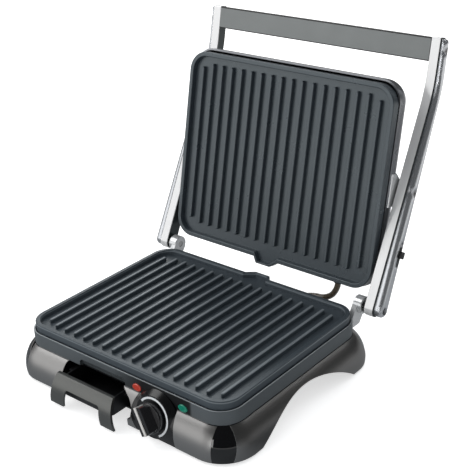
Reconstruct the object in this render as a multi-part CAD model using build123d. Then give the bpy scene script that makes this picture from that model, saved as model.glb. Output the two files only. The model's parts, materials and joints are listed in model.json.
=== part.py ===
from build123d import *
from math import cos, radians, sin, sqrt, tan
import os

# A contact grill (panini press) whose lid floats between two arms that are joined by a handle.
# Built with the press shut, +Z up, the floor at z = 0, the lower plate centred on x = y = 0 and
# the front at -Y. The lid and the arms are then swung open, and the drip tray drawn out a little.

# ---- driving dimensions, millimetres and degrees ----
PLATE_WIDTH, PLATE_DEPTH, PLATE_RADIUS = 290.0, 232.0, 24.0
PLATE_HEIGHT = 10.0
RIM_WIDTH, RIM_DEPTH = 6.0, 6.0
RIB_COUNT, RIB_PITCH, RIB_HEIGHT, RIB_WIDTH = 18, 14.8, 4.6, 4.2
RIB_FRONT, RIB_REAR, OUTER_RIB_TRIM = -103.0, 98.0, 5.0
SPOUT_REACH, SPOUT_LEFT, SPOUT_RIGHT, SPOUT_RAMP, SPOUT_LIP = 7.5, 6.0, 15.0, 10.0, 4.0

RIM_TOP = 64.0
BAND_OUT, BAND_TOP, BAND_LOW = 3.0, 54.5, 38.5
FLARE, WIDEST_Z, SKIRT_LOW = 14.4, 9.0, 3.0
SHELL_WALL, PANEL_WALL, PANEL_PROUD = 3.0, 1.0, 0.3
ARCH_HALF, ARCH_TOP = 82.0, 32.0

LID_GAP = 1.2
LID_TOP, LID_LIP = 104.0, 3.5
HINGE_Y, HINGE_Z = 130.0, 63.0
OPEN_ANGLE = 102.7
PIVOT_Y, PIVOT_Z = 0.0, 97.0

ARM_IN, ARM_SPLIT, ARM_OUT = 149.0, 160.0, 170.5
ARM_SLOPE, ARM_BOSS, ARM_DRAFT = 15.3, 9.5, 4.8
HANDLE_LOW, HANDLE_TOP = 56.0, 69.5
ARM_END, HANDLE_NEAR = 299.0, 272.0

TRAY_OUT = 18.0
TRAY_X, TRAY_LEGS_X, TRAY_HALF_TOP, TRAY_HALF_LOW = -29.0, -26.6, 42.5, 49.0
DIAL_X, DIAL_Y, DIAL_Z, DIAL_LEAN = 59.3, -130.5, 26.0, 10.0
DIAL_FACE, DIAL_FOOT, DIAL_RISE, SCALE_RADIUS = 23.0, 28.0, 6.5, 20.4
LENS_Z, LENS_RED_X, LENS_GREEN_X = 43.6, 28.5, 92.0
PIN_RADIUS, PIVOT_RADIUS, RUN_CLEARANCE = 4.0, 3.0, 0.05

HALF_X, HALF_Y = PLATE_WIDTH / 2, PLATE_DEPTH / 2
BAND_X, BAND_Y, BAND_RADIUS = HALF_X + BAND_OUT, HALF_Y + BAND_OUT, PLATE_RADIUS + BAND_OUT
PLATE_LOW = RIM_TOP - PLATE_HEIGHT
LID_RIM = RIM_TOP + LID_GAP
LID_PLATE_TOP = LID_RIM + PLATE_HEIGHT
SKIRT_RADIUS = (FLARE**2 + (BAND_LOW - WIDEST_Z) ** 2) / (2 * FLARE)
SKIRT_CENTRE = FLARE - SKIRT_RADIUS

# The dial's own frame: origin at the middle of its face, local Z out of the face.
DIAL_OUT = (0, -cos(radians(DIAL_LEAN)), sin(radians(DIAL_LEAN)))
DIAL = Plane(origin=(DIAL_X, DIAL_Y, DIAL_Z), x_dir=(1, 0, 0), z_dir=DIAL_OUT).location
OPENING = Pos(0, HINGE_Y, HINGE_Z) * Rot(-OPEN_ANGLE, 0, 0) * Pos(0, -HINGE_Y, -HINGE_Z)
PULLED = Pos(0, -TRAY_OUT, 0)


# ---- shared shapes ----
def box(x0, x1, y0, y1, z0, z1):
    """A box between two corners."""
    return Pos((x0 + x1) / 2, (y0 + y1) / 2, (z0 + z1) / 2) * Box(x1 - x0, y1 - y0, z1 - z0)


def rod(radius, start, end):
    """A round bar between two points."""
    start, end = Vector(*start), Vector(*end)
    plane = Plane(origin=start, z_dir=end - start)
    return extrude(plane * Circle(radius), amount=(end - start).length)


def slab(grow, low, high):
    """The plate's outline, grown sideways, between two heights."""
    radius = max(PLATE_RADIUS + grow, 8)
    outline = RectangleRounded(2 * (HALF_X + grow), 2 * (HALF_Y + grow), radius)
    return Pos(0, 0, low) * extrude(outline, amount=high - low)


def side_solid(sketch, low, high):
    """A sketch whose axes are (y, z), given thickness between two x values."""
    plane = Plane(origin=(low, 0, 0), x_dir=(0, 1, 0), z_dir=(1, 0, 0))
    return extrude(plane * sketch, amount=high - low)


def front_solid(sketch, front, rear):
    """A sketch whose axes are (x, z), given thickness between two y values."""
    plane = Plane(origin=(0, rear, 0), x_dir=(1, 0, 0), z_dir=(0, -1, 0))
    return extrude(plane * sketch, amount=rear - front)


def ring(profile, half_x, half_y, radius):
    """Carry a profile, drawn as (distance out of the outline, height), round a rounded box."""
    face = Plane.XZ * (Pos(radius, 0) * profile)
    corner = revolve(face, Axis.Z, 90)
    long_side = extrude(face, amount=2 * (half_x - radius), dir=(0, 1, 0))
    short_side = extrude(face, amount=2 * (half_y - radius), dir=(0, 1, 0))
    pieces = []
    for turn, (sx, sy) in enumerate(((1, 1), (-1, 1), (-1, -1), (1, -1))):
        centre = Pos(sx * (half_x - radius), sy * (half_y - radius), 0)
        side = long_side if turn % 2 == 0 else short_side
        pieces.append(centre * Rot(0, 0, 90 * turn) * corner)
        pieces.append(centre * Rot(0, 0, 90 * (turn + 1)) * side)
    return pieces[0] + pieces[1:]


def skirt_layer(near, far, low=SKIRT_LOW, high=BAND_LOW):
    """A layer of the flared skirt, near to far below its surface, between two heights."""
    centre = Pos(SKIRT_CENTRE, WIDEST_Z)
    bow = centre * Circle(SKIRT_RADIUS - near) - centre * Circle(SKIRT_RADIUS - far)
    window = Pos(0, (low + high) / 2) * Rectangle(2 * (FLARE + 2), high - low)
    return ring(bow & window, BAND_X, BAND_Y, BAND_RADIUS)


def mirrored(shape):
    """The same shape on the other side of x = 0."""
    return mirror(shape, about=Plane.YZ)


def both_sides(shape):
    """A shape and its mirror image as one group."""
    return Compound([shape, mirrored(shape)])


# ---- cooking plates and heating ----
def spout_outline(inset):
    """The grease spout in the rear edge: a long ramp on its left and a short wall on its right."""
    rear, inside = HALF_Y + SPOUT_REACH - inset, HALF_Y - 2 * RIM_WIDTH
    left, right = -SPOUT_LEFT + inset, SPOUT_RIGHT - inset
    points = [(left - SPOUT_RAMP - 8, inside), (left - SPOUT_RAMP, HALF_Y - inset),
              (left, rear), (right, rear), (right + 4, HALF_Y - inset), (right + 10, inside)]
    return make_face(FilletPolyline(*points, radius=[1, 9, 4, 1.5, 3, 1], close=True))


def grill_plate():
    """A ribbed cast plate with a rim and a rear spout, its rim's top at z = 0, ribs upwards."""
    outline = RectangleRounded(PLATE_WIDTH, PLATE_DEPTH, PLATE_RADIUS)
    spout = spout_outline(0)
    body = Pos(0, 0, -PLATE_HEIGHT) * extrude(outline + spout, amount=PLATE_HEIGHT)
    floor = RectangleRounded(
        PLATE_WIDTH - 2 * RIM_WIDTH, PLATE_DEPTH - 2 * RIM_WIDTH, PLATE_RADIUS - RIM_WIDTH)
    gully = spout_outline(3.0)
    body -= Pos(0, 0, -RIM_DEPTH) * extrude(floor + gully, amount=RIM_DEPTH, taper=-8)
    rim = body.edges().filter_by_position(Axis.Z, -0.01, 0.01)
    body = fillet(rim, 0.9)
    body -= box(-40, 40, HALF_Y, HALF_Y + SPOUT_REACH + 1, -SPOUT_LIP, 1)
    for index in range(RIB_COUNT):
        trim = OUTER_RIB_TRIM if index in (0, RIB_COUNT - 1) else 0
        front, rear = RIB_FRONT + trim, RIB_REAR - trim
        place = Pos((index - (RIB_COUNT - 1) / 2) * RIB_PITCH, (front + rear) / 2, -RIM_DEPTH)
        rib = extrude(SlotOverall(rear - front, RIB_WIDTH, rotation=90), amount=RIB_HEIGHT, taper=5)
        body += place * fillet(rib.faces().sort_by(Axis.Z)[-1].edges(), 0.9)
    return body


def element(height):
    """A tubular heating element bent into one open loop, its two cold ends at the rear."""
    points = [(-14, 108), (-14, 80), (-112, 78), (-112, -80), (112, -80), (112, 78), (14, 80),
              (14, 108)]
    path = FilletPolyline(*[(x, y, height) for x, y in points], radius=16)
    return sweep(Plane(origin=path @ 0, z_dir=path % 0) * Circle(3.25), path=path)


def reflector(sheet, edge):
    """A shallow sheet tray, open at its edge, that throws the element's heat at the plate."""
    wall = 0.8 if edge > sheet else -0.8
    pan = slab(-14, sheet, edge) - slab(-14.8, sheet + wall, edge + wall)
    for x in (-14, 14):
        pan -= Pos(x, 100, (sheet + edge) / 2 + 2 * wall) * Box(10, 20, abs(edge - sheet))
    return pan


# ---- base ----
def arch():
    """The round-topped cut through the lower edge of both side walls."""
    rise = ARCH_TOP - SKIRT_LOW
    radius = (ARCH_HALF**2 + rise**2) / (2 * rise)
    disc = Pos(0, ARCH_TOP - radius) * Circle(radius)
    lower = Pos(0, (ARCH_TOP - 2) / 2) * Rectangle(4 * ARCH_HALF, ARCH_TOP + 2)
    return side_solid(disc & lower, -2 * BAND_X, 2 * BAND_X)


def front_region(left_top, left_low, right_top, right_low, high=BAND_LOW + 1):
    """The part of the front wall between two edges that spread a little towards the bottom."""
    points = [(left_low, 0), (right_low, 0), (right_top, high), (left_top, high)]
    return front_solid(make_face(Polyline(*points, close=True)), -BAND_Y - 2 * FLARE, -BAND_Y + 22)


def side_region():
    """The part of the right wall between the two corner pillars."""
    top, low = 108.0, 118.0
    points = [(-low, 0), (low, 0), (top, BAND_LOW + 1), (-top, BAND_LOW + 1)]
    return side_solid(make_face(Polyline(*points, close=True)), BAND_X - 10, BAND_X + 2 * FLARE)


MOUTH_TOP, MOUTH_SILL = 36.8, 11.5
MOUTH_CORNERS = [(-79, 0), (-77, BAND_LOW), (9, BAND_LOW), (24, 31), (29.5, 24), (28.5, 12.5),
                 (24.5, MOUTH_SILL), (24.5, 0)]
MOUTH = make_face(FilletPolyline(*MOUTH_CORNERS, radius=[0.5, 3, 0.5, 12, 5, 0.5, 0.5, 0.5],
                                 close=True))
LOW_MOUTH = MOUTH & Pos(0, MOUTH_TOP / 2) * Rectangle(2 * BAND_X, MOUTH_TOP)
TRAY_MOUTH = (front_solid(MOUTH, -BAND_Y - 2 * FLARE, -BAND_Y + SHELL_WALL + 0.2)
              + front_solid(LOW_MOUTH, -BAND_Y - 2 * FLARE, -BAND_Y + 22))
PANEL_SKIN = skirt_layer(-PANEL_PROUD, PANEL_WALL, SKIRT_LOW + 0.4, BAND_LOW - 0.4)
CORNER_TOP, CORNER_LOW, CONTROL_TOP, CONTROL_LOW = 134.0, 137.0, 84.5, 92.0
POSTS = [(sx * 132, sy * 103) for sx in (-1, 1) for sy in (-1, 1)]
PAN_SCREWS = [(sx * 139.5, sy * 58) for sx in (-1, 1) for sy in (-1, 1)]
CHUTE_HALF = 14.0
CONTROL_WALL, CONTROL_RADIUS = 2.4, 30.5


def front_left_panel():
    return (PANEL_SKIN & front_region(-CORNER_TOP, -CORNER_LOW, TRAY_X, TRAY_X)) - TRAY_MOUTH


def front_right_panel():
    return PANEL_SKIN & front_region(CONTROL_TOP, CONTROL_LOW, CORNER_TOP, CORNER_LOW)


def front_middle_panel():
    """The panel between the tray's mouth and the dial's round housing."""
    return (PANEL_SKIN & front_region(TRAY_X, TRAY_X, DIAL_X, DIAL_X)) - TRAY_MOUTH - control_region()


def side_panel():
    return (PANEL_SKIN & side_region()) - arch()


def dial_bore(radius, low, high):
    """A round bar on the dial's axis, between two distances from its face."""
    return DIAL * Pos(0, 0, low) * extrude(Circle(radius), amount=high - low)


def dial_boss():
    """The round housing that carries the dial: a cone that narrows towards its leaning face."""
    cone = loft([Pos(0, 0, -DIAL_RISE) * Circle(DIAL_FOOT), Circle(DIAL_FACE)])
    return DIAL * cone + dial_bore(DIAL_FOOT, -DIAL_RISE - 12, -DIAL_RISE)


def control_region():
    """Where the black insert lies: round about the dial, with a straight right edge."""
    disc = Pos(DIAL_X, DIAL_Z) * Circle(CONTROL_RADIUS) & Pos(0, DIAL_Z) * Rectangle(2 * DIAL_X, 100)
    return (front_solid(disc, -BAND_Y - 2 * FLARE, -BAND_Y + 22)
            + front_region(DIAL_X, DIAL_X, CONTROL_TOP, CONTROL_LOW))


def control_panel():
    """The black insert beside the tray, with its dial housing."""
    high = BAND_LOW - 0.4
    insert = skirt_layer(0, CONTROL_WALL, SKIRT_LOW + 0.4, high) & control_region()
    low_boss = dial_boss() & skirt_layer(-12, CONTROL_WALL, SKIRT_LOW + 0.4, high) & control_region()
    high_boss = dial_boss() & box(0, 200, -160, -BAND_Y, high, 100)
    panel = insert + low_boss + high_boss
    return panel - dial_bore(DIAL_FACE, 0, 20) - dial_bore(4.0, -30, 20)


def dial_scale():
    """The white scale that sweeps from the dial's upper left round to its lower right."""
    start, end, reach = 141.0, -60.0, 80.0
    turns = [start + (end - start) * step / 4 for step in range(5)]
    wedge = Polyline((0, 0), *[(reach * cos(radians(a)), reach * sin(radians(a))) for a in turns],
                     close=True)
    band = Circle(SCALE_RADIUS + 1.1) - Circle(SCALE_RADIUS - 1.1)
    return DIAL * extrude(band & make_face(wedge), amount=0.3)


def lens_shape(x, grow=0.0):
    """An oval lens seen from the front."""
    return Pos(x, LENS_Z) * Ellipse(6.0 + grow, 4.3 + grow)


def lens(x):
    """A coloured indicator lens with a domed face."""
    stem = front_solid(lens_shape(x), -BAND_Y - 1.2, -BAND_Y + 5)
    front = stem.faces().sort_by(Axis.Y)[0]
    return fillet(front.edges(), 1.0)


def base_shell():
    """The gloss-black moulding: flared skirt, top ledge, corner posts for the feet."""
    ledge = Pos(-6.5, BAND_LOW - 1.5) * Rectangle(11, 3)
    shell = skirt_layer(0, SHELL_WALL) + ring(ledge, BAND_X, BAND_Y, BAND_RADIUS)
    for x, y in POSTS:
        shell += Pos(x, y, SKIRT_LOW) * extrude(Circle(7), amount=BAND_LOW - SKIRT_LOW)
        shell -= rod(3.0, (x, y, 0), (x, y, SKIRT_LOW + 8))
    shell -= arch()
    shell -= TRAY_MOUTH
    for panel in (front_left_panel(), front_middle_panel(), front_right_panel(), side_panel(),
                  mirrored(side_panel())):
        shell -= panel
    shell -= skirt_layer(-1, CONTROL_WALL, 0, BAND_LOW - 0.4) & control_region()
    shell -= dial_boss() & box(0, 200, -160, -BAND_Y, BAND_LOW - 0.4, BAND_LOW)
    shell -= dial_bore(4.0, -30, 20)
    shell -= box(-CHUTE_HALF - 2, CHUTE_HALF + 2, 100, BAND_Y + 1, 30, 50)
    for x, y in PAN_SCREWS:
        shell -= rod(1.5, (x, y, 30), (x, y, 50))
    shell -= rod(GLAND_RADIUS, CABLE_ROUTE[0], CABLE_EXIT)
    shell -= rod(6.4, (INLET_X, 100, INLET_Z), (INLET_X, 150, INLET_Z))
    shell -= rod(9.0, (INLET_X, INLET_SEAT, INLET_Z), (INLET_X, 150, INLET_Z))
    return shell


SCOOP_LEFT, SCOOP_RIGHT, SCOOP_TOP = -58.0, 11.0, 46.9


def finger_scoop():
    """The shallow hollow over the tray's mouth, deepest at the band's lower edge."""
    front, low = -BAND_Y - 0.01, BAND_LOW - 0.01
    wedge = make_face(Polyline((front - 1, SCOOP_TOP), (front, SCOOP_TOP), (-BAND_Y + 3.6, 42.5),
                               (-BAND_Y + 4.6, low), (front - 1, low), close=True))
    points = [(SCOOP_LEFT, low), (SCOOP_LEFT, SCOOP_TOP), (SCOOP_RIGHT, SCOOP_TOP), (SCOOP_RIGHT, low)]
    outline = make_face(FilletPolyline(*points, radius=[0.2, 6, 6, 0.2], close=True))
    return side_solid(wedge, SCOOP_LEFT, SCOOP_RIGHT) & front_solid(outline, front - 1, -BAND_Y + 6)


def bezel_band():
    """The dark band that frames the lower plate, with an inner ledge on the shell."""
    wall = Pos(-1, (BAND_TOP + BAND_LOW) / 2) * Rectangle(2, BAND_TOP - BAND_LOW)
    ledge = Pos(-6, BAND_LOW + 1) * Rectangle(10, 2)
    band = ring(wall + ledge, BAND_X, BAND_Y, BAND_RADIUS)
    rims = band.edges().filter_by_position(Axis.Z, BAND_TOP - 0.01, BAND_TOP + 0.01)
    band = fillet(rims, 0.7)
    band -= box(-CHUTE_HALF - 2, CHUTE_HALF + 2, 100, BAND_Y + 1, 30, 53)
    band -= box(-28, 28, 100, BAND_Y + 1, PLATE_LOW - 0.5, 60)
    for x in (LENS_RED_X, LENS_GREEN_X):
        band -= front_solid(lens_shape(x, 0.1), -BAND_Y - 1, -BAND_Y + 12)
    band += box(SCOOP_LEFT - 2, SCOOP_RIGHT + 2, -BAND_Y + 2, -BAND_Y + 6, BAND_LOW + 2, SCOOP_TOP + 2)
    band -= finger_scoop()
    slot = box(133.6, 140.4, 100, 125, BAND_LOW + 2, 60)
    return band - slot - mirrored(slot)


def bottom_pan():
    """The vented floor of the base: a flange under the shell's ledge and a deep well."""
    flange = slab(-5, 33, 35.4)
    well = box(-98, 98, -114, 110, 6, 34)
    pan = flange + well - box(-96, 96, -113, 108, 8, 40)
    pan -= box(-96, 96, -116, -110, 8, 40)
    for row in range(2):
        for index in range(11):
            x = -75 + 15 * index
            pan -= Pos(x, -45 + 90 * row, 4) * extrude(SlotOverall(50, 4, rotation=90), amount=6)
    for x, y in POSTS:
        pan -= rod(7.6, (x, y, 20), (x, y, 40))
    for x, y in PAN_SCREWS:
        pan -= rod(1.5, (x, y, 20), (x, y, 40))
    return pan


def pan_screws():
    group = []
    for x, y in PAN_SCREWS:
        screw = rod(1.5, (x, y, 33), (x, y, BAND_LOW)) + rod(3.2, (x, y, 30.8), (x, y, 33))
        group.append(screw - box(x - 2.4, x + 2.4, y - 0.4, y + 0.4, 30, 31.8))
    return Compound(group)


def rubber_feet():
    group = []
    for x, y in POSTS:
        pad = Pos(x, y, 0) * extrude(Circle(8), amount=SKIRT_LOW)
        pad = fillet(pad.edges().sort_by(Axis.Z)[0], 1.0)
        group.append(pad + rod(3.0, (x, y, 1), (x, y, SKIRT_LOW + 8)))
    return Compound(group)


def hinge_bracket():
    """The right rear bracket: a foot inside the band, a web and a hollow barrel on the axis."""
    barrel = rod(10, (134, HINGE_Y, HINGE_Z), (145, HINGE_Y, HINGE_Z))
    barrel = fillet(barrel.edges(), 0.8)
    low = BAND_LOW + 2
    points = [(108, 50), (108, low), (126, low), (139, 58), (121, 66), (112, 53)]
    web = side_solid(make_face(Polyline(*points, close=True)), 134, 140)
    foot = box(124, 140, 103, 110, low, 49)
    bracket = barrel + web + foot
    bracket -= rod(7.6, (139, HINGE_Y, HINGE_Z), (150, HINGE_Y, HINGE_Z))
    return bracket - rod(PIN_RADIUS, (130, HINGE_Y, HINGE_Z), (150, HINGE_Y, HINGE_Z))


def hinge_pin():
    return rod(PIN_RADIUS, (134.5, HINGE_Y, HINGE_Z), (165, HINGE_Y, HINGE_Z))


def thermostat():
    """The thermostat's body behind the dial, bored for the dial's shaft, with two tags."""
    body = fillet(Box(30, 21, 19).edges().filter_by(Axis.Z), 2)
    body = Pos(0, 0, -23.4) * body + Pos(0, 0, -13.9) * extrude(Circle(5.5), amount=7)
    for x in (-9, 9):
        body += Pos(x, 0, -36) * Box(6, 1, 9)
    return DIAL * body - dial_bore(3.0 + RUN_CLEARANCE, -28.2, 20)


def thermostat_bracket():
    """The sheet bracket that holds the thermostat off the well's floor."""
    plate = DIAL * Pos(0, 0, -12.75) * Box(40, 60, 1.5) & box(0, 200, -160, 0, 8, 34)
    foot = box(DIAL_X - 20, DIAL_X + 20, -120.4, -104, 8, 9.5)
    return plate + foot - dial_bore(5.5, -40, 20)


def lamps():
    """The two neon lamps behind the lenses."""
    group = []
    for x in (LENS_RED_X, LENS_GREEN_X):
        lamp = rod(2.8, (x, -113, LENS_Z), (x, -104.5, LENS_Z))
        group.append(fillet(lamp.edges(), 1.2))
    return Compound(group)


def tray_rails():
    """Two angled rails that carry the drip tray's side flanges."""
    left = box(-77, -70.6, -106, 100, 24.5, 27.5) + box(-77, -74.4, -106, 100, 27.4, 33)
    left += box(-96, -76, 60, 70, 24.5, 27.5) + box(-96, -76, -90, -80, 24.5, 27.5)
    right = Pos(TRAY_X, 0, 0) * mirrored(Pos(-TRAY_X, 0, 0) * left)
    right += box(18, 96, 60, 70, 24.5, 27.5)
    return Compound([left, right])


def grease_chute():
    """A sloping gutter from under the plates' spouts to the rear of the drip tray."""
    top = [(128.5, 52), (128.5, 42.5), (119, 39.5), (66, 31.5), (66, 38), (100, 42), (117, 46),
           (118, 52)]
    outer = side_solid(make_face(Polyline(*top, close=True)), -CHUTE_HALF, CHUTE_HALF)
    inner = [(127, 60), (127, 43.8), (118.6, 41), (60, 32.2), (60, 60)]
    return outer - side_solid(make_face(Polyline(*inner, close=True)), -CHUTE_HALF + 1.4,
                              CHUTE_HALF - 1.4)


def terminal_block():
    """The ceramic terminal block on the well's floor, behind the tray."""
    block = box(30, 66, 84, 102, 8, 20)
    for index in range(3):
        block -= rod(2.2, (36 + 12 * index, 80, 14), (36 + 12 * index, 110, 14))
        block -= rod(1.8, (36 + 12 * index, 93, 14), (36 + 12 * index, 93, 30))
    return block


def thermal_fuse():
    """The fuse, clipped under the lower reflector."""
    return rod(2.6, (50, 10, 41.2), (72, 10, 41.2)) + box(58, 64, 5, 15, 42.5, 43.9)


# ---- mains inlet and the lead between base and lid ----
INLET_X, INLET_Z, INLET_SEAT = -70.0, 24.0, 131.0
LEAD_RADIUS, GLAND_RADIUS = 3.6, 5.9
CABLE_ROUTE = [(28, 119, 31), (35, 132.5, 33.5), (46, 143, 37.5), (60, 148, 41),
               (75.7, 148.6, 42.5), (87.3, 148.6, 49.2), (94, 149.8, 60.8), (94, 152.6, 73.2)]
CABLE_EXIT = (33.2, 129.0, 32.8)


def mains_inlet():
    """The moulded gland in the rear wall where the mains lead goes in."""
    gland = rod(6.4, (INLET_X, 118, INLET_Z), (INLET_X, 141, INLET_Z))
    gland += rod(9.0, (INLET_X, INLET_SEAT, INLET_Z), (INLET_X, 135, INLET_Z))
    return gland - rod(3.5, (INLET_X, 110, INLET_Z), (INLET_X, 150, INLET_Z))


def base_gland():
    """The gland in the rear wall for the lead that feeds the lid's element."""
    gland = rod(GLAND_RADIUS, CABLE_ROUTE[0], CABLE_EXIT)
    return gland - rod(LEAD_RADIUS, CABLE_ROUTE[0], CABLE_ROUTE[1])


def cable_radii():
    """For each corner, the largest arc that its two runs allow."""
    points = [Vector(*p) for p in CABLE_ROUTE]
    radii = []
    for before, here, after in zip(points, points[1:], points[2:]):
        turn = radians((here - before).get_angle(after - here))
        radii.append(0.45 * min((here - before).length, (after - here).length) / tan(turn / 2))
    return radii


def link_cable():
    path = FilletPolyline(*CABLE_ROUTE, radius=cable_radii())
    tube = sweep(Plane(origin=path @ 0, z_dir=path % 0) * Circle(LEAD_RADIUS), path=path)
    print("lead: length", round(path.length, 1), "volume", round(tube.volume),
          "section x length", round(3.14159 * LEAD_RADIUS**2 * path.length))
    print("lead: radii", [round(r, 1) for r in cable_radii()])
    return tube


# ---- drip tray ----
TRAY_FRONT_WALL = 2.6


def tray_front():
    """The curved front of the drip tray, standing on two legs."""
    region = front_region(TRAY_X - TRAY_HALF_TOP, TRAY_LEGS_X - TRAY_HALF_LOW,
                          TRAY_X + TRAY_HALF_TOP, TRAY_LEGS_X + TRAY_HALF_LOW, 35.6)
    front = skirt_layer(0, TRAY_FRONT_WALL, SKIRT_LOW + 0.6, 35.6) & region
    half_low, half_high, high = 29.0, 25.5, 24.5
    points = [(TRAY_LEGS_X - half_low, 0), (TRAY_LEGS_X - half_high, high),
              (TRAY_LEGS_X + half_high, high), (TRAY_LEGS_X + half_low, 0)]
    gap = make_face(FilletPolyline(*points, radius=[1, 3.5, 3.5, 1], close=True))
    return PULLED * (front - front_solid(gap, -160, -100))


def tray_bin():
    """The grease bin behind the front, open at the top, with a flange along each side."""
    half, wall, rear, front = 37.5, 1.6, 92.0, -122.5
    outer = box(TRAY_X - half, TRAY_X + half, front, rear, 11, 31.5)
    outer = fillet(outer.edges().filter_by(Axis.Z), 5)
    inner = box(TRAY_X - half + wall, TRAY_X + half - wall, front + wall, rear - wall, 11 + wall, 40)
    inner = fillet(inner.edges().filter_by(Axis.Z), 5 - wall)
    flange = box(TRAY_X - half - 7, TRAY_X + half + 7, -104, rear - 10, 28, 29.6)
    flange -= box(TRAY_X - half + wall, TRAY_X + half - wall, -110, rear, 20, 40)
    head = box(TRAY_X - 39, TRAY_X + 39, -127.2, front + 1, 22, 31.5)
    tray = outer - inner + flange + head
    return PULLED * (tray - skirt_layer(-12, TRAY_FRONT_WALL, 0, BAND_LOW))


# ---- dial knob ----
KNOB_GAP, KNOB_HEIGHT, KNOB_RADIUS = 0.8, 17.2, 16.5
KNOB_LEAN, POINTER_WALL = 34.5, 1.0


def knob_place():
    """The knob's own frame: origin on its base, local Z out of the dial, blade leaning."""
    return DIAL * Pos(0, 0, KNOB_GAP) * Rot(0, 0, KNOB_LEAN)


def knob():
    """A round skirt with a blade across it, and a socket for the shaft."""
    skirt = extrude(Circle(KNOB_RADIUS), amount=6)
    skirt = fillet(skirt.edges().sort_by(Axis.Z)[-1], 1.5)
    body = extrude(Circle(KNOB_RADIUS - 1.5), amount=KNOB_HEIGHT - POINTER_WALL)
    blade = body & extrude(Rectangle(24, 40), amount=KNOB_HEIGHT, taper=20)
    return knob_place() * (skirt + blade - extrude(Circle(3.0), amount=11))


def knob_pointer():
    """The bright strip along the blade's edge, folded down over its upper end."""
    reach = KNOB_RADIUS - 1.5
    top = KNOB_HEIGHT - POINTER_WALL
    strip = Pos(0, POINTER_WALL / 2, top + POINTER_WALL / 2) * Box(3, 2 * reach + 1, POINTER_WALL)
    fold = Pos(0, reach + POINTER_WALL / 2, (top + 6) / 2) * Box(3, POINTER_WALL, top - 6)
    return knob_place() * (strip + fold) - knob()


def knob_shaft():
    return dial_bore(3.0, -28, KNOB_GAP + 11)


# ---- arms and handle, drawn from the hinge axis with the press shut ----
def boss_tangent(point, side):
    """Where a line from a point touches the hinge boss, on its upper (1) or lower (-1) side."""
    far = point[0] ** 2 + point[1] ** 2
    along, across = ARM_BOSS**2 / far, side * ARM_BOSS * sqrt(far - ARM_BOSS**2) / far
    return (along * point[0] + across * point[1], along * point[1] - across * point[0])


def arm_outline():
    """The arm's side view: a boss on the hinge, a sloping blade and a level grip end."""
    slope = radians(ARM_SLOPE)
    run = (HANDLE_LOW * cos(slope) + ARM_BOSS) / sin(slope)
    low_bend = (-run, HANDLE_LOW)
    high_bend = (-run - 4, HANDLE_TOP)
    low_start, high_start = boss_tangent(low_bend, -1), boss_tangent(high_bend, 1)
    rim = FilletPolyline(low_start, low_bend, (-ARM_END, HANDLE_LOW), (-ARM_END, HANDLE_TOP),
                         high_bend, high_start, radius=[140, 2, 5, 130])
    back = ThreePointArc(high_start, (ARM_BOSS * cos(slope), -ARM_BOSS * sin(slope)), low_start)
    return Pos(HINGE_Y, HINGE_Z) * make_face([*rim.edges(), back])


PIVOT = (PIVOT_Y, PIVOT_Z)
GRIP_SCREW = (HINGE_Y - 285.0, HINGE_Z + 62.8)
SLIDER_FROM_HINGE = 65.0
SLIDER_AT = (HINGE_Y - SLIDER_FROM_HINGE * cos(radians(ARM_SLOPE)),
             HINGE_Z + SLIDER_FROM_HINGE * sin(radians(ARM_SLOPE)))
SLOT_LENGTH, SLOT_WIDTH = 29.0, 6.4
ARM_HEADS = (((HINGE_Y, HINGE_Z), 4.4, 165.2), (PIVOT, 4.0, 165.0), (GRIP_SCREW, 3.4, 162.2))
HEAD_HEIGHT = 2.8


def arm():
    """The right arm's inner casting, with bores for the hinge bush and the lid's pivot pin."""
    casting = side_solid(arm_outline(), ARM_IN, ARM_SPLIT)
    inner_rim = casting.faces().sort_by(Axis.X)[0].edges()
    casting = fillet(inner_rim, 1.0)
    casting -= rod(6.0, (140, HINGE_Y, HINGE_Z), (180, HINGE_Y, HINGE_Z))
    casting -= rod(PIVOT_RADIUS, (140, *PIVOT), (180, *PIVOT))
    return casting - rod(2.0, (140, *GRIP_SCREW), (180, *GRIP_SCREW))


def arm_cover():
    """The right arm's outer cover, stepped back from the casting and thinner towards the grip."""
    limit = Polyline((ARM_IN, HINGE_Y + 20), (ARM_OUT, HINGE_Y + 20), (ARM_OUT, HINGE_Y),
                     (ARM_OUT - ARM_DRAFT, HINGE_Y - ARM_END), (ARM_IN, HINGE_Y - ARM_END), close=True)
    cover = side_solid(offset(arm_outline(), amount=-1.6), ARM_SPLIT, ARM_OUT)
    cover &= extrude(make_face(limit), amount=2 * HINGE_Y)
    outer_rim = cover.faces().sort_by(Axis.X)[-1].edges()
    cover = fillet(outer_rim, 4.0)
    for centre, radius, seat in ARM_HEADS:
        cover -= rod(radius + 0.2, (seat, *centre), (180, *centre))
    cover -= rod(PIN_RADIUS + 0.1, (140, HINGE_Y, HINGE_Z), (165.2, HINGE_Y, HINGE_Z))
    cover -= rod(PIVOT_RADIUS, (140, *PIVOT), (166, *PIVOT))
    return cover


def slider_slot(length, width, low, high):
    """A round-ended slot along the right arm."""
    slot = Pos(*SLIDER_AT) * SlotOverall(length, width, rotation=-ARM_SLOPE)
    return side_solid(slot, low, high)


def hinge_bush():
    bush = rod(6.0, (ARM_IN, HINGE_Y, HINGE_Z), (ARM_SPLIT, HINGE_Y, HINGE_Z))
    return bush - rod(PIN_RADIUS + RUN_CLEARANCE, (140, HINGE_Y, HINGE_Z), (180, HINGE_Y, HINGE_Z))


def pivot_pin():
    """The pin that the lid hangs on: shank in the arm, journal in the lid's ear."""
    return rod(PIVOT_RADIUS, (139, *PIVOT), (164.5, *PIVOT))


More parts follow.
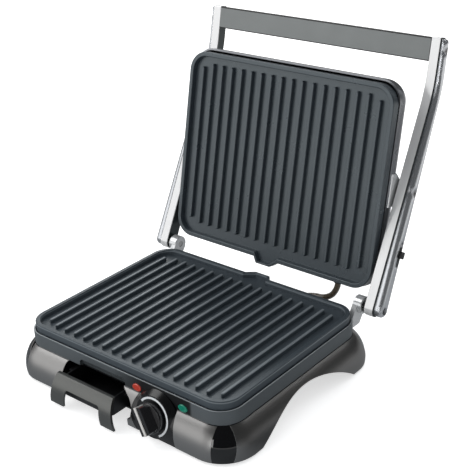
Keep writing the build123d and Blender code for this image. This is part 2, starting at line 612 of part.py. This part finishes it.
def arm_screws():
    """The three cross-head screws in the right arm's cover."""
    group = []
    for centre, radius, seat in ARM_HEADS:
        top = seat + HEAD_HEIGHT
        head = rod(radius, (seat, *centre), (top, *centre))
        cross = box(top - 1.4, top + 1, -0.5, 0.5, -2.4, 2.4)
        cross += box(top - 1.4, top + 1, -2.4, 2.4, -0.5, 0.5)
        group.append(head - Pos(0, *centre) * cross)
    return group


def handle_core():
    """The black grip bar between the arms."""
    near, far = HINGE_Y - HANDLE_NEAR, HINGE_Y - ARM_END + 1
    low, high = HINGE_Z + HANDLE_LOW, HINGE_Z + HANDLE_TOP - 0.5
    section = make_face(FilletPolyline((near, low), (far, low), (far, high), (near, high),
                                       radius=[1, 1, 5, 5], close=True))
    bar = side_solid(section, -ARM_IN, ARM_IN)
    recess = box(-ARM_IN, ARM_IN, far + 1.3, near - 1.0, low - 1, low + 1.2)
    return bar - recess


def handle_plate():
    """The flat grey facing on the grip's face."""
    near, far = HINGE_Y - HANDLE_NEAR - 1.2, HINGE_Y - ARM_END + 2.5
    low = HINGE_Z + HANDLE_LOW
    return box(-ARM_IN + 0.2, ARM_IN - 0.2, far, near, low, low + 1.2)


def release_slider():
    """The catch on the right arm that lets the lid open flat."""
    shoe = slider_slot(16, SLOT_WIDTH - 0.6, 165.4, ARM_OUT - 1)
    tab = Pos(*SLIDER_AT) * SlotOverall(8, 3.6, rotation=-ARM_SLOPE)
    return shoe + side_solid(tab, ARM_OUT - 1, ARM_OUT + 4)


# ---- lid ----
def ear():
    """The right ear that the lid hangs from, fixed to the side of its cover."""
    plate = make_hull((Pos(*PIVOT) * Circle(9.5)).edges() + (Pos(0, 85) * Rectangle(38, 10)).edges())
    cheek = side_solid(plate, 138, 147)
    cheek = fillet(cheek.faces().sort_by(Axis.X)[-1].edges(), 1.2)
    return cheek - rod(PIVOT_RADIUS + RUN_CLEARANCE, (130, *PIVOT), (160, *PIVOT))


def lid_cover():
    """The lid's domed housing: an upright side that turns over into a flat back. Its front
    stands out past the plate by LID_LIP."""
    low, turn, wall, over = LID_PLATE_TOP + 1.8, 84.0, 2.0, 0.5
    radius = LID_TOP - turn
    outer = [(over, low), (over, turn)]
    profile = make_face([
        Line(outer[0], outer[1]),
        RadiusArc(outer[1], (over - radius, LID_TOP), -radius),
        Line((over - radius, LID_TOP), (over - radius - 1, LID_TOP)),
        Line((over - radius - 1, LID_TOP), (over - radius - 1, LID_TOP - wall)),
        Line((over - radius - 1, LID_TOP - wall), (over - radius, LID_TOP - wall)),
        RadiusArc((over - radius, LID_TOP - wall), (over - wall, turn), radius - wall),
        Line((over - wall, turn), (over - wall, low)),
        Line((over - wall, low), outer[0]),
    ])
    half_y = HALF_Y + LID_LIP / 2
    flat = RectangleRounded(2 * (HALF_X + over - radius), 2 * (half_y + over - radius), 4.0)
    cover = ring(profile, HALF_X, half_y, PLATE_RADIUS)
    cover += Pos(0, 0, LID_TOP - wall) * extrude(flat, amount=wall)
    cover = Pos(0, -LID_LIP / 2, 0) * cover
    cover -= ear() + box(130, 146, -6, 6, 90, 104)
    cover -= mirrored(ear() + box(130, 146, -6, 6, 90, 104))
    cover -= slab(-26, LID_TOP - 0.8, LID_TOP + 1)
    for x, y in LID_SCREWS:
        cover -= rod(2.0, (x, y, LID_TOP - 5), (x, y, LID_TOP + 1))
    return cover - rod(LID_GLAND_RADIUS, (CABLE_X, 100, CABLE_Z), (CABLE_X, 130, CABLE_Z))


LID_SCREWS = [(sx * 88, sy * 62) for sx in (-1, 1) for sy in (-1, 1)]
CABLE_X, CABLE_Z, LID_GLAND_RADIUS = 94.0, LID_RIM + 17.6, 4.9


def lid_badge_panel():
    """The brushed panel let into the back of the lid."""
    panel = slab(-26.2, LID_TOP - 0.8, LID_TOP + 0.8)
    panel = fillet(panel.edges().filter_by_position(Axis.Z, LID_TOP + 0.79, LID_TOP + 0.81), 0.6)
    for x, y in LID_SCREWS:
        panel -= rod(2.0, (x, y, LID_TOP - 5), (x, y, LID_TOP + 2))
    return panel


def lid_frame():
    """The black inner frame that the upper plate and its reflector hang from."""
    section = Pos(-7.5, LID_PLATE_TOP + 2.0) * Rectangle(11, 3.6)
    frame = ring(section, HALF_X, HALF_Y, PLATE_RADIUS)
    for x in (-14, 14):
        frame -= box(x - 5, x + 5, 90, 112, LID_PLATE_TOP, LID_PLATE_TOP + 10)
    return frame


def lid_screws():
    group = []
    for x, y in LID_SCREWS:
        screw = rod(2.0, (x, y, LID_TOP - 5), (x, y, LID_TOP + 0.8))
        screw += rod(4.0, (x, y, LID_TOP + 0.8), (x, y, LID_TOP + 2.2))
        cross = box(-0.5, 0.5, -2.6, 2.6, 1.4, 4) + box(-2.6, 2.6, -0.5, 0.5, 1.4, 4)
        group.append(screw - Pos(x, y, LID_TOP) * cross)
    return Compound(group)


def lid_gland():
    gland = rod(LID_GLAND_RADIUS, (CABLE_X, HALF_Y - 1.5, CABLE_Z), (CABLE_X, 121.5, CABLE_Z))
    return gland - rod(LEAD_RADIUS + 0.2, (CABLE_X, 100, CABLE_Z), (CABLE_X, 130, CABLE_Z))


# ---- the press, node by node, shut ----
upper_plate = Pos(0, 0, LID_RIM) * Rot(0, 180, 0) * grill_plate()
right_screws = arm_screws()

base_nodes = {
    "base_shell": base_shell(),
    "bezel_band": bezel_band(),
    "bottom_pan": bottom_pan(),
    "panel_front_left": front_left_panel(),
    "panel_front_middle": front_middle_panel(),
    "panel_front_right": front_right_panel(),
    "panel_side_right": side_panel(),
    "panel_side_left": mirrored(side_panel()),
    "control_panel": control_panel(),
    "dial_scale": dial_scale(),
    "lens_red": lens(LENS_RED_X),
    "lens_green": lens(LENS_GREEN_X),
    "indicator_lamps": lamps(),
    "thermostat": thermostat(),
    "thermostat_bracket": thermostat_bracket(),
    "lower_plate": Pos(0, 0, RIM_TOP) * grill_plate(),
    "lower_element": element(PLATE_LOW - 3.3),
    "lower_reflector": reflector(44, 52),
    "thermal_fuse": thermal_fuse(),
    "terminal_block": terminal_block(),
    "tray_rails": tray_rails(),
    "grease_chute": grease_chute(),
    "hinge_bracket_right": hinge_bracket(),
    "hinge_bracket_left": mirrored(hinge_bracket()),
    "hinge_pins": both_sides(hinge_pin()),
    "rubber_feet": rubber_feet(),
    "pan_screws": pan_screws(),
    "mains_inlet": mains_inlet(),
    "base_cable_gland": base_gland(),
    "link_cable": link_cable(),
    "drip_tray_bin": tray_bin(),
    "drip_tray_front": tray_front(),
    "knob": knob(),
    "knob_pointer": knob_pointer(),
    "knob_shaft": knob_shaft(),
}
arm_nodes = {
    "arm_right": arm(),
    "arm_left": mirrored(arm()),
    "arm_cover_right": arm_cover() - slider_slot(SLOT_LENGTH, SLOT_WIDTH, 165, 180),
    "arm_cover_left": mirrored(arm_cover()),
    "hinge_bushes": both_sides(hinge_bush()),
    "pivot_pins": both_sides(pivot_pin()),
    "arm_screws": Compound(right_screws + [mirrored(s) for s in right_screws]),
    "handle_core": handle_core(),
    "handle_plate": handle_plate(),
    "release_slider": release_slider(),
}
lid_nodes = {
    "lid_cover": lid_cover(),
    "lid_back_panel": lid_badge_panel(),
    "lid_frame": lid_frame(),
    "upper_plate": upper_plate,
    "upper_element": element(LID_PLATE_TOP + 3.3),
    "upper_reflector": reflector(LID_PLATE_TOP + 9.5, LID_PLATE_TOP + 1.5),
    "pivot_ear_right": ear(),
    "pivot_ear_left": mirrored(ear()),
    "lid_screws": lid_screws(),
    "lid_cable_gland": lid_gland(),
}

# ---- swing the lid and arms open, centre the whole over the origin, and write the files ----
placed = dict(base_nodes)
placed.update({name: OPENING * shape for name, shape in {**arm_nodes, **lid_nodes}.items()})
extent = Compound([s for shape in placed.values() for s in shape.solids()]).bounding_box()
centring = Pos(0, -(extent.min.Y + extent.max.Y) / 2, 0)

os.makedirs("parts", exist_ok=True)
for name, shape in placed.items():
    export_step(centring * shape, f"parts/{name}.step")

axis_y, axis_z = HINGE_Y + centring.position.Y, HINGE_Z
pivot = (OPENING * Pos(0, *PIVOT)).position + centring.position
slider = centring.position + (OPENING * Pos(0, *SLIDER_AT)).position
print("centring", centring.position, "hinge", axis_y, axis_z, "pivot", pivot, "slider", slider)
print("extent", extent.min, extent.max)
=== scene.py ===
import json
from math import cos, radians, sin

import bpy
from mathutils import Matrix, Vector


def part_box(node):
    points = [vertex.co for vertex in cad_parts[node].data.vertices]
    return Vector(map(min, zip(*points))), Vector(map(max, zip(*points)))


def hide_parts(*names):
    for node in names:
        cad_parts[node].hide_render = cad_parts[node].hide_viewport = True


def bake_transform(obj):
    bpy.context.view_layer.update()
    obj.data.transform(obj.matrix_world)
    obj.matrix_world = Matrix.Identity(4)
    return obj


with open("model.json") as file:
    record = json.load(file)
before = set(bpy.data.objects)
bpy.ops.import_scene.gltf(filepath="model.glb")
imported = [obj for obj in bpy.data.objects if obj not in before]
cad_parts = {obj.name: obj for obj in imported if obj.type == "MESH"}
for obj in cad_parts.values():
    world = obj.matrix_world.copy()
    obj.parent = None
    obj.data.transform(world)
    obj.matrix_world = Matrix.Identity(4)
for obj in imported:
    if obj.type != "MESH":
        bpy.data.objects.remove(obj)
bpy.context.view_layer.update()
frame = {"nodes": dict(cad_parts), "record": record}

# ---- positions in the row frame, in metres; the plate's half depth leaves out its spout ----
PLATE_HALF_DEPTH = 0.116
PLATE_LOW, PLATE_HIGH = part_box("lower_plate")
FRONT_Y, RIM_Z = PLATE_LOW[1], PLATE_HIGH[2]
MIDDLE_Y = FRONT_Y + PLATE_HALF_DEPTH
RED_LOW, RED_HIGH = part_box("lens_red")
GREEN_LOW, GREEN_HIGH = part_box("lens_green")


# ---- nodes that the materials share ----
def new_material(name):
    """An empty material with its output and a Principled shader."""
    made = bpy.data.materials.new(name)
    made.use_nodes = True
    nodes = made.node_tree.nodes
    return made, nodes["Principled BSDF"], nodes, made.node_tree.links


def noise(nodes, links, scale, detail=3.0, stretch=(1, 1, 1)):
    """A noise texture over the object's own coordinates, stretched along an axis if asked."""
    coords = nodes.new("ShaderNodeTexCoord")
    mapping = nodes.new("ShaderNodeMapping")
    mapping.inputs["Scale"].default_value = stretch
    texture = nodes.new("ShaderNodeTexNoise")
    texture.inputs["Scale"].default_value = scale
    texture.inputs["Detail"].default_value = detail
    links.new(coords.outputs["Object"], mapping.inputs["Vector"])
    links.new(mapping.outputs["Vector"], texture.inputs["Vector"])
    return texture.outputs["Fac"]


def spread(nodes, links, source, low, high, start=0.3, end=0.7):
    """Map a value between start and end on to the range from low to high."""
    mapped = nodes.new("ShaderNodeMapRange")
    mapped.inputs["From Min"].default_value = start
    mapped.inputs["From Max"].default_value = end
    mapped.inputs["To Min"].default_value = low
    mapped.inputs["To Max"].default_value = high
    links.new(source, mapped.inputs["Value"])
    return mapped.outputs["Result"]


def tint(nodes, links, source, first, second, start=0.3, end=0.7):
    """Map a value between start and end on to a range of colours."""
    ramp = nodes.new("ShaderNodeValToRGB")
    ramp.color_ramp.elements[0].position = start
    ramp.color_ramp.elements[0].color = (*first, 1)
    ramp.color_ramp.elements[1].position = end
    ramp.color_ramp.elements[1].color = (*second, 1)
    links.new(source, ramp.inputs["Fac"])
    return ramp.outputs["Color"]


def along(nodes, links, kind, axis):
    """One axis of the object's own coordinates, or of its own normal."""
    coords = nodes.new("ShaderNodeTexCoord")
    parts = nodes.new("ShaderNodeSeparateXYZ")
    links.new(coords.outputs[kind], parts.inputs["Vector"])
    return parts.outputs[axis]


def calculate(nodes, links, operation, *values):
    """The result of an operation on one or two values, each a socket or a number."""
    result = nodes.new("ShaderNodeMath")
    result.operation = operation
    for socket, value in zip(result.inputs, values):
        if isinstance(value, bpy.types.NodeSocket):
            links.new(value, socket)
        else:
            socket.default_value = value
    return result.outputs["Value"]


def cover(nodes, links, mask, under, tone):
    """A colour with a plain tone over it where the mask is 1."""
    mix = nodes.new("ShaderNodeMix")
    mix.data_type = "RGBA"
    mix.inputs["B"].default_value = (*tone, 1)
    links.new(mask, mix.inputs["Factor"])
    links.new(under, mix.inputs["A"])
    return mix.outputs["Result"]


# ---- finishes, by the record's slot or by a name of their own ----
BUMP_DEPTH, SMEAR = 0.0002, 40.0
FINISHES = {}


def finish(name, first, second, metallic, rough, grain, bump, stretch=(1, 1, 1),
           coat=0.0, coat_rough=0.05, specular=0.5, gloss=(1, 1, 1)):
    """A finish with a fine grain in its colour and surface and a broad one in its roughness."""
    made, shader, nodes, links = new_material(name)
    fine = noise(nodes, links, grain, 2.0, stretch)
    broad = noise(nodes, links, SMEAR)
    links.new(tint(nodes, links, fine, first, second), shader.inputs["Base Color"])
    links.new(spread(nodes, links, broad, *rough), shader.inputs["Roughness"])
    shader.inputs["Metallic"].default_value = metallic
    shader.inputs["Specular IOR Level"].default_value = specular
    shader.inputs["Specular Tint"].default_value = (*gloss, 1)
    shader.inputs["Coat Weight"].default_value = coat
    shader.inputs["Coat Roughness"].default_value = coat_rough
    raised = nodes.new("ShaderNodeBump")
    raised.inputs["Strength"].default_value = bump
    raised.inputs["Distance"].default_value = BUMP_DEPTH
    links.new(fine, raised.inputs["Height"])
    links.new(raised.outputs["Normal"], shader.inputs["Normal"])
    FINISHES[name] = made


# Base shell, band and panels.
finish("shell_gloss", (0.0015, 0.0016, 0.002), (0.002, 0.0022, 0.003), 0, (0.05, 0.08), 900, 0.02,
       coat=0.6)
finish("band_satin", (0.098, 0.113, 0.122), (0.108, 0.123, 0.132), 0.3, (0.38, 0.46), 1800, 0.25)
finish("panel_metallic", (0.355, 0.35, 0.345), (0.37, 0.365, 0.36), 1, (0.36, 0.37), 5200, 0.02)
finish("pan_black", (0.012, 0.012, 0.013), (0.022, 0.022, 0.024), 0, (0.5, 0.62), 2400, 0.3)
finish("foot_rubber", (0.010, 0.010, 0.010), (0.018, 0.018, 0.018), 0, (0.7, 0.8), 1800, 0.4)

# Control panel, dial and lamps.
finish("control_gloss", (0.0025, 0.0026, 0.003), (0.004, 0.0042, 0.005), 0, (0.20, 0.26), 1200,
       0.03, coat=0.3, coat_rough=0.2)
finish("print_white", (0.72, 0.74, 0.76), (0.82, 0.84, 0.85), 0, (0.35, 0.45), 2600, 0.1)
finish("lens_red", (0.42, 0.035, 0.022), (0.60, 0.085, 0.055), 0, (0.10, 0.16), 700, 0.15,
       coat=0.8)
finish("lens_green", (0.004, 0.16, 0.10), (0.008, 0.26, 0.17), 0, (0.10, 0.16), 700, 0.15,
       coat=0.8)
finish("lamp_glass", (0.75, 0.62, 0.5), (0.85, 0.75, 0.62), 0, (0.1, 0.2), 600, 0.1)
finish("knob_black", (0.007, 0.007, 0.008), (0.011, 0.011, 0.013), 0, (0.16, 0.24), 1500, 0.08,
       coat=0.3)
finish("knob_silver", (0.74, 0.72, 0.69), (0.80, 0.78, 0.75), 0.35, (0.2, 0.3), 1500, 0.05)

# Plates and what heats them.
PLATE_GLOSS = (0.90, 1.0, 1.04)
finish("plate_coated", (0.026, 0.034, 0.042), (0.034, 0.043, 0.052), 0, (0.27, 0.31), 2600, 0.2,
       specular=1.0, gloss=PLATE_GLOSS)
# The lower plate's coating is a lighter, less glossy copy of the upper plate's: painted light,
# for how light falls on each plate.
finish("plate_coated_lower_lit", (0.038, 0.048, 0.058), (0.046, 0.058, 0.069), 0, (0.36, 0.42), 2600,
       0.2, specular=0.72, gloss=PLATE_GLOSS)
finish("heater_steel", (0.13, 0.11, 0.10), (0.24, 0.22, 0.21), 1, (0.35, 0.5), 300, 0.2)
finish("reflector_aluminium", (0.62, 0.62, 0.62), (0.74, 0.74, 0.74), 1, (0.22, 0.34), 700, 0.1,
       stretch=(1, 18, 1))
finish("ceramic_white", (0.70, 0.67, 0.60), (0.82, 0.80, 0.74), 0, (0.25, 0.4), 500, 0.1)
finish("thermostat_metal", (0.42, 0.41, 0.38), (0.56, 0.55, 0.52), 1, (0.3, 0.45), 900, 0.1)

# Drip tray.
finish("tray_black", (0.006, 0.006, 0.007), (0.010, 0.010, 0.011), 0, (0.3, 0.4), 1800, 0.2)
finish("tray_face", (0.145, 0.148, 0.142), (0.160, 0.163, 0.157), 0.85, (0.28, 0.32), 4200, 0.05)
finish("rail_steel", (0.34, 0.35, 0.36), (0.46, 0.47, 0.48), 1, (0.3, 0.45), 260, 0.1)

# Arms, hinges and handle.
# The hinge brackets' chrome is partly non-metal so it stays bright: painted light.
finish("hinge_chrome", (0.66, 0.67, 0.68), (0.74, 0.75, 0.76), 0.6, (0.10, 0.18), 1400, 0.03)
# The arms' chrome comes as two copies: a lighter, partly non-metal one that keeps the castings
# bright, which is painted light, and a more metallic one for the covers.
finish("arm_casting_chrome_brightened", (0.80, 0.80, 0.80), (0.86, 0.86, 0.86), 0.35, (0.12, 0.18), 1400,
       0.02)
finish("arm_cover_chrome", (0.68, 0.70, 0.73), (0.74, 0.76, 0.79), 0.88, (0.07, 0.12), 1400, 0.02)
finish("pin_steel", (0.5, 0.5, 0.5), (0.6, 0.6, 0.6), 1, (0.2, 0.3), 1500, 0.1)
finish("screw_steel", (0.30, 0.30, 0.31), (0.42, 0.42, 0.43), 1, (0.25, 0.35), 1500, 0.1)
finish("bush_nylon", (0.68, 0.66, 0.60), (0.76, 0.74, 0.68), 0, (0.4, 0.5), 900, 0.1)
finish("slider_black", (0.008, 0.008, 0.009), (0.014, 0.014, 0.015), 0, (0.35, 0.45), 1800, 0.2)
finish("grip_black", (0.008, 0.008, 0.009), (0.014, 0.014, 0.015), 0, (0.3, 0.4), 1800, 0.2)
finish("grip_grey", (0.215, 0.228, 0.228), (0.235, 0.248, 0.248), 0.9, (0.34, 0.40), 1500, 0.05,
       stretch=(1, 30, 30))

# Lid and lead.
finish("lid_cover_metal", (0.30, 0.31, 0.33), (0.34, 0.35, 0.37), 0.9, (0.26, 0.32), 1500, 0.04)
finish("lid_steel", (0.44, 0.44, 0.43), (0.58, 0.58, 0.57), 1, (0.24, 0.34), 260, 0.12,
       stretch=(1, 22, 22))
finish("frame_black", (0.006, 0.006, 0.007), (0.010, 0.010, 0.011), 0, (0.5, 0.6), 1500, 0.2)
finish("gland_rubber", (0.012, 0.012, 0.013), (0.02, 0.02, 0.022), 0, (0.55, 0.65), 1800, 0.3)
finish("lead_sleeve", (0.085, 0.068, 0.046), (0.13, 0.105, 0.075), 0, (0.24, 0.30), 900, 0.2,
       coat=0.8)


# ---- tones that stand for reflections and bright edges ----
BEVEL_SAMPLES = 12
SQUARE_ON = (0.80, 0.95)
DARK_STARTS = (RED_LOW[0] - 0.030, RED_HIGH[0] + 0.002)
DARK_ENDS = (GREEN_HIGH[0] + 0.003, GREEN_HIGH[0] + 0.006)
BAND_FRONT = (FRONT_Y, FRONT_Y + 0.006)
CREST_STARTS = (RIM_Z - 0.0026, RIM_Z - 0.0020)
CREST_ENDS = (RIM_Z - 0.0012, RIM_Z - 0.0008)


def soften_edges(name, radius):
    """Round the shading of a finish's edges."""
    made = FINISHES[name].node_tree
    bevel = made.nodes.new("ShaderNodeBevel")
    bevel.samples = BEVEL_SAMPLES
    bevel.inputs["Radius"].default_value = radius
    made.links.new(bevel.outputs["Normal"], made.nodes["Bump"].inputs["Normal"])


def paint_over(name, mask_of, tone):
    """Paint a tone over a finish where the mask that mask_of makes is 1."""
    made = FINISHES[name].node_tree
    colour = made.nodes["Principled BSDF"].inputs["Base Color"]
    under = colour.links[0].from_socket
    mask = mask_of(made.nodes, made.links)
    made.links.new(cover(made.nodes, made.links, mask, under, tone), colour)


def faces_along(axis):
    """A mask of the faces that look along an axis, either way."""
    def mask(nodes, links):
        size = calculate(nodes, links, "ABSOLUTE", along(nodes, links, "Normal", axis))
        return spread(nodes, links, size, 0, 1, *SQUARE_ON)
    return mask


def dark_reflection_between_lamps(nodes, links):
    """A mask of the band's front for a painted dark reflection, fading in before the red lens and
    ending past the green one.
    """
    x, y = along(nodes, links, "Object", "X"), along(nodes, links, "Object", "Y")
    between = calculate(nodes, links, "MINIMUM", spread(nodes, links, x, 0, 1, *DARK_STARTS),
                        spread(nodes, links, x, 1, 0, *DARK_ENDS))
    front = spread(nodes, links, y, 1, 0, *BAND_FRONT)
    return calculate(nodes, links, "MULTIPLY", between, front)


def rib_crest_highlights(nodes, links):
    """A mask of the heights of the ribs' crests, just under the plate's rim, where a painted
    highlight goes.
    """
    z = along(nodes, links, "Object", "Z")
    return calculate(nodes, links, "MINIMUM", spread(nodes, links, z, 0, 1, *CREST_STARTS),
                     spread(nodes, links, z, 1, 0, *CREST_ENDS))


soften_edges("arm_cover_chrome", 0.007)
soften_edges("band_satin", 0.0008)
# Painted reflection: the arm castings' side faces, which look along X, are painted dark.
paint_over("arm_casting_chrome_brightened", faces_along("X"), tone=(0.035, 0.045, 0.047))
# Painted reflection: the band's front between the lamps is painted near black.
paint_over("band_satin", dark_reflection_between_lamps, tone=(0.010, 0.011, 0.012))
# Painted highlight: the band's faces that look along Z, chiefly its top ledge, are painted light
# grey.
paint_over("band_satin", faces_along("Z"), tone=(0.42, 0.45, 0.47))
# Painted highlight: the lower plate's rib crests are painted lighter.
paint_over("plate_coated_lower_lit", rib_crest_highlights, tone=(0.15, 0.17, 0.185))

# Nodes that take a finish of their own instead of their slot's; the lower plate's and the arm
# castings' finishes are lighter copies, which is painted light.
OWN_FINISH = {
    "lower_plate": "plate_coated_lower_lit",
    "arm_right": "arm_casting_chrome_brightened",
    "arm_left": "arm_casting_chrome_brightened",
    "arm_cover_right": "arm_cover_chrome",
    "arm_cover_left": "arm_cover_chrome",
}
slot_of = {part["node"]: part["material_slot"] for part in frame["record"]["subparts"]}
for node, piece in frame["nodes"].items():
    piece.data.materials.clear()
    piece.data.materials.append(FINISHES[OWN_FINISH.get(node, slot_of[node])])


lead = bpy.data.objects.new("link_lead", frame["nodes"]["link_cable"].data.copy())
bpy.context.scene.collection.objects.link(lead)
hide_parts("link_cable")
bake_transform(lead)

# ---- camera ----
AZIMUTH, ELEVATION, ROLL = radians(40.5), radians(25.35), radians(-2.74)
CAMERA_AT = Vector((0.69275, MIDDLE_Y - 0.73013, RIM_Z + 0.57221))
LENS_MM = 79.11

back = Vector((sin(AZIMUTH) * cos(ELEVATION), -cos(AZIMUTH) * cos(ELEVATION), sin(ELEVATION)))
level = Vector((cos(AZIMUTH), sin(AZIMUTH), 0))
upward = back.cross(level)
right = cos(ROLL) * level + sin(ROLL) * upward
up = cos(ROLL) * upward - sin(ROLL) * level
facing = Matrix((right, up, back)).transposed().to_4x4()
camera = bpy.data.objects.new("camera", bpy.data.cameras.new("camera"))
bpy.context.scene.collection.objects.link(camera)
camera.data.lens = LENS_MM
camera.matrix_world = Matrix.Translation(CAMERA_AT) @ facing
bpy.context.scene.camera = camera

# ---- floor ----
REACH = 6.0
FLOOR_GLOW, FLOOR_GRAIN = 0.6, 30
FLOOR_WHITES = ((0.86, 0.86, 0.86), (0.88, 0.88, 0.88))
FLOOR_FRONT, FLOOR_SIDE = (0.30, 0.32, 0.34), (0.09, 0.095, 0.10)
FLOOR_REAR, FLOOR_FAR = (0.34, 0.35, 0.36), (0.80, 0.79, 0.78)
FRONT_TO_SIDE, SIDE_TO_REAR, NEAR_TO_FAR = (-0.20, -0.12), (-0.08, 0.10), (0.45, 0.9)
UNLIT_HALF_X, UNLIT_HALF_Y, UNLIT_EDGE = 0.125, 0.100, 0.01


def painted_floor_in_reflections(nodes, links):
    """Painted light and shade on the floor as reflections see it: grey in front of the object,
    dark beside it, grey behind it and bright farther off.
    """
    coords = nodes.new("ShaderNodeTexCoord")
    distance = nodes.new("ShaderNodeVectorMath")
    distance.operation = "LENGTH"
    links.new(coords.outputs["Object"], distance.inputs[0])
    y = along(nodes, links, "Object", "Y")
    beside = spread(nodes, links, y, 0, 1, *FRONT_TO_SIDE)
    behind = spread(nodes, links, y, 0, 1, *SIDE_TO_REAR)
    far = spread(nodes, links, distance.outputs["Value"], 0, 1, *NEAR_TO_FAR)
    near = tint(nodes, links, beside, FLOOR_FRONT, FLOOR_SIDE, 0, 1)
    near = cover(nodes, links, behind, near, FLOOR_REAR)
    return cover(nodes, links, far, near, FLOOR_FAR)


def glow_clear_of_base(nodes, links):
    """The floor's own glow, which is put out under the middle of the base."""
    clear = []
    for axis, centre, half in (("X", 0, UNLIT_HALF_X), ("Y", MIDDLE_Y, UNLIT_HALF_Y)):
        place = along(nodes, links, "Object", axis)
        away = calculate(nodes, links, "SUBTRACT", place, centre)
        size = calculate(nodes, links, "ABSOLUTE", away)
        clear.append(spread(nodes, links, size, 0, 1, half - UNLIT_EDGE, half))
    outside = calculate(nodes, links, "MAXIMUM", *clear)
    return spread(nodes, links, outside, 0, FLOOR_GLOW, 0, 1)


def floor_material():
    """A floor that the camera sees as white, and that reflections see as a painted glow in
    several greys.
    """
    made, shader, nodes, links = new_material("floor")
    grain = noise(nodes, links, FLOOR_GRAIN)
    links.new(tint(nodes, links, grain, *FLOOR_WHITES), shader.inputs["Base Color"])
    shader.inputs["Roughness"].default_value = 0.8
    shader.inputs["Specular IOR Level"].default_value = 0.1
    shader.inputs["Emission Color"].default_value = (1, 1, 1, 1)
    path = nodes.new("ShaderNodeLightPath")
    glow = calculate(nodes, links, "MULTIPLY", path.outputs["Is Camera Ray"],
                     glow_clear_of_base(nodes, links))
    links.new(glow, shader.inputs["Emission Strength"])
    # For glossy rays the floor is an emission of painted greys: painted shade near the object and
    # painted light farther off.
    greys = nodes.new("ShaderNodeEmission")
    links.new(painted_floor_in_reflections(nodes, links), greys.inputs["Color"])
    mix = nodes.new("ShaderNodeMixShader")
    links.new(path.outputs["Is Glossy Ray"], mix.inputs["Fac"])
    links.new(shader.outputs["BSDF"], mix.inputs[1])
    links.new(greys.outputs["Emission"], mix.inputs[2])
    links.new(mix.outputs["Shader"], nodes["Material Output"].inputs["Surface"])
    return made


floor_mesh = bpy.data.meshes.new("floor")
floor_mesh.from_pydata([(-REACH, -REACH, 0), (REACH, -REACH, 0), (REACH, REACH, 0),
                        (-REACH, REACH, 0)], [], [(0, 1, 2, 3)])
floor = bpy.data.objects.new("floor", floor_mesh)
bpy.context.scene.collection.objects.link(floor)
floor_mesh.materials.append(floor_material())

# ---- light ----
TARGET = Vector((0, 0, 0.12))


def softbox(name, at, width, height, watts):
    """A rectangular area light that faces the target."""
    lamp = bpy.data.lights.new(name, "AREA")
    lamp.shape = "RECTANGLE"
    lamp.size, lamp.size_y = width, height
    lamp.energy = watts
    made = bpy.data.objects.new(name, lamp)
    made.location = at
    made.rotation_euler = (TARGET - Vector(at)).to_track_quat("-Z", "Y").to_euler()
    bpy.context.scene.collection.objects.link(made)


def world_light(seen, cast):
    """An even surround, dim in reflections and brighter for everything else."""
    world = bpy.data.worlds.new("world")
    bpy.context.scene.world = world
    world.use_nodes = True
    nodes, links = world.node_tree.nodes, world.node_tree.links
    path = nodes.new("ShaderNodeLightPath")
    strength = spread(nodes, links, path.outputs["Is Glossy Ray"], cast, seen, 0, 1)
    nodes["Background"].inputs["Color"].default_value = (0.96, 0.98, 1, 1)
    links.new(strength, nodes["Background"].inputs["Strength"])


softbox("front_left", (-2.1, -2.6, 0.75), 3.4, 2.0, 24)
softbox("upper_left", (-1.6, -0.8, 2.0), 1.6, 1.8, 20)
softbox("rear_top", (-0.3, 1.9, 1.95), 3.4, 0.6, 24)
softbox("front", (0.35, -2.9, 0.5), 0.5, 1.3, 7)
softbox("rear_left", (-1.7, 2.0, 1.35), 2.4, 1.1, 12)
world_light(seen=0.06, cast=0.6)
bpy.context.scene.view_settings.view_transform = "Standard"
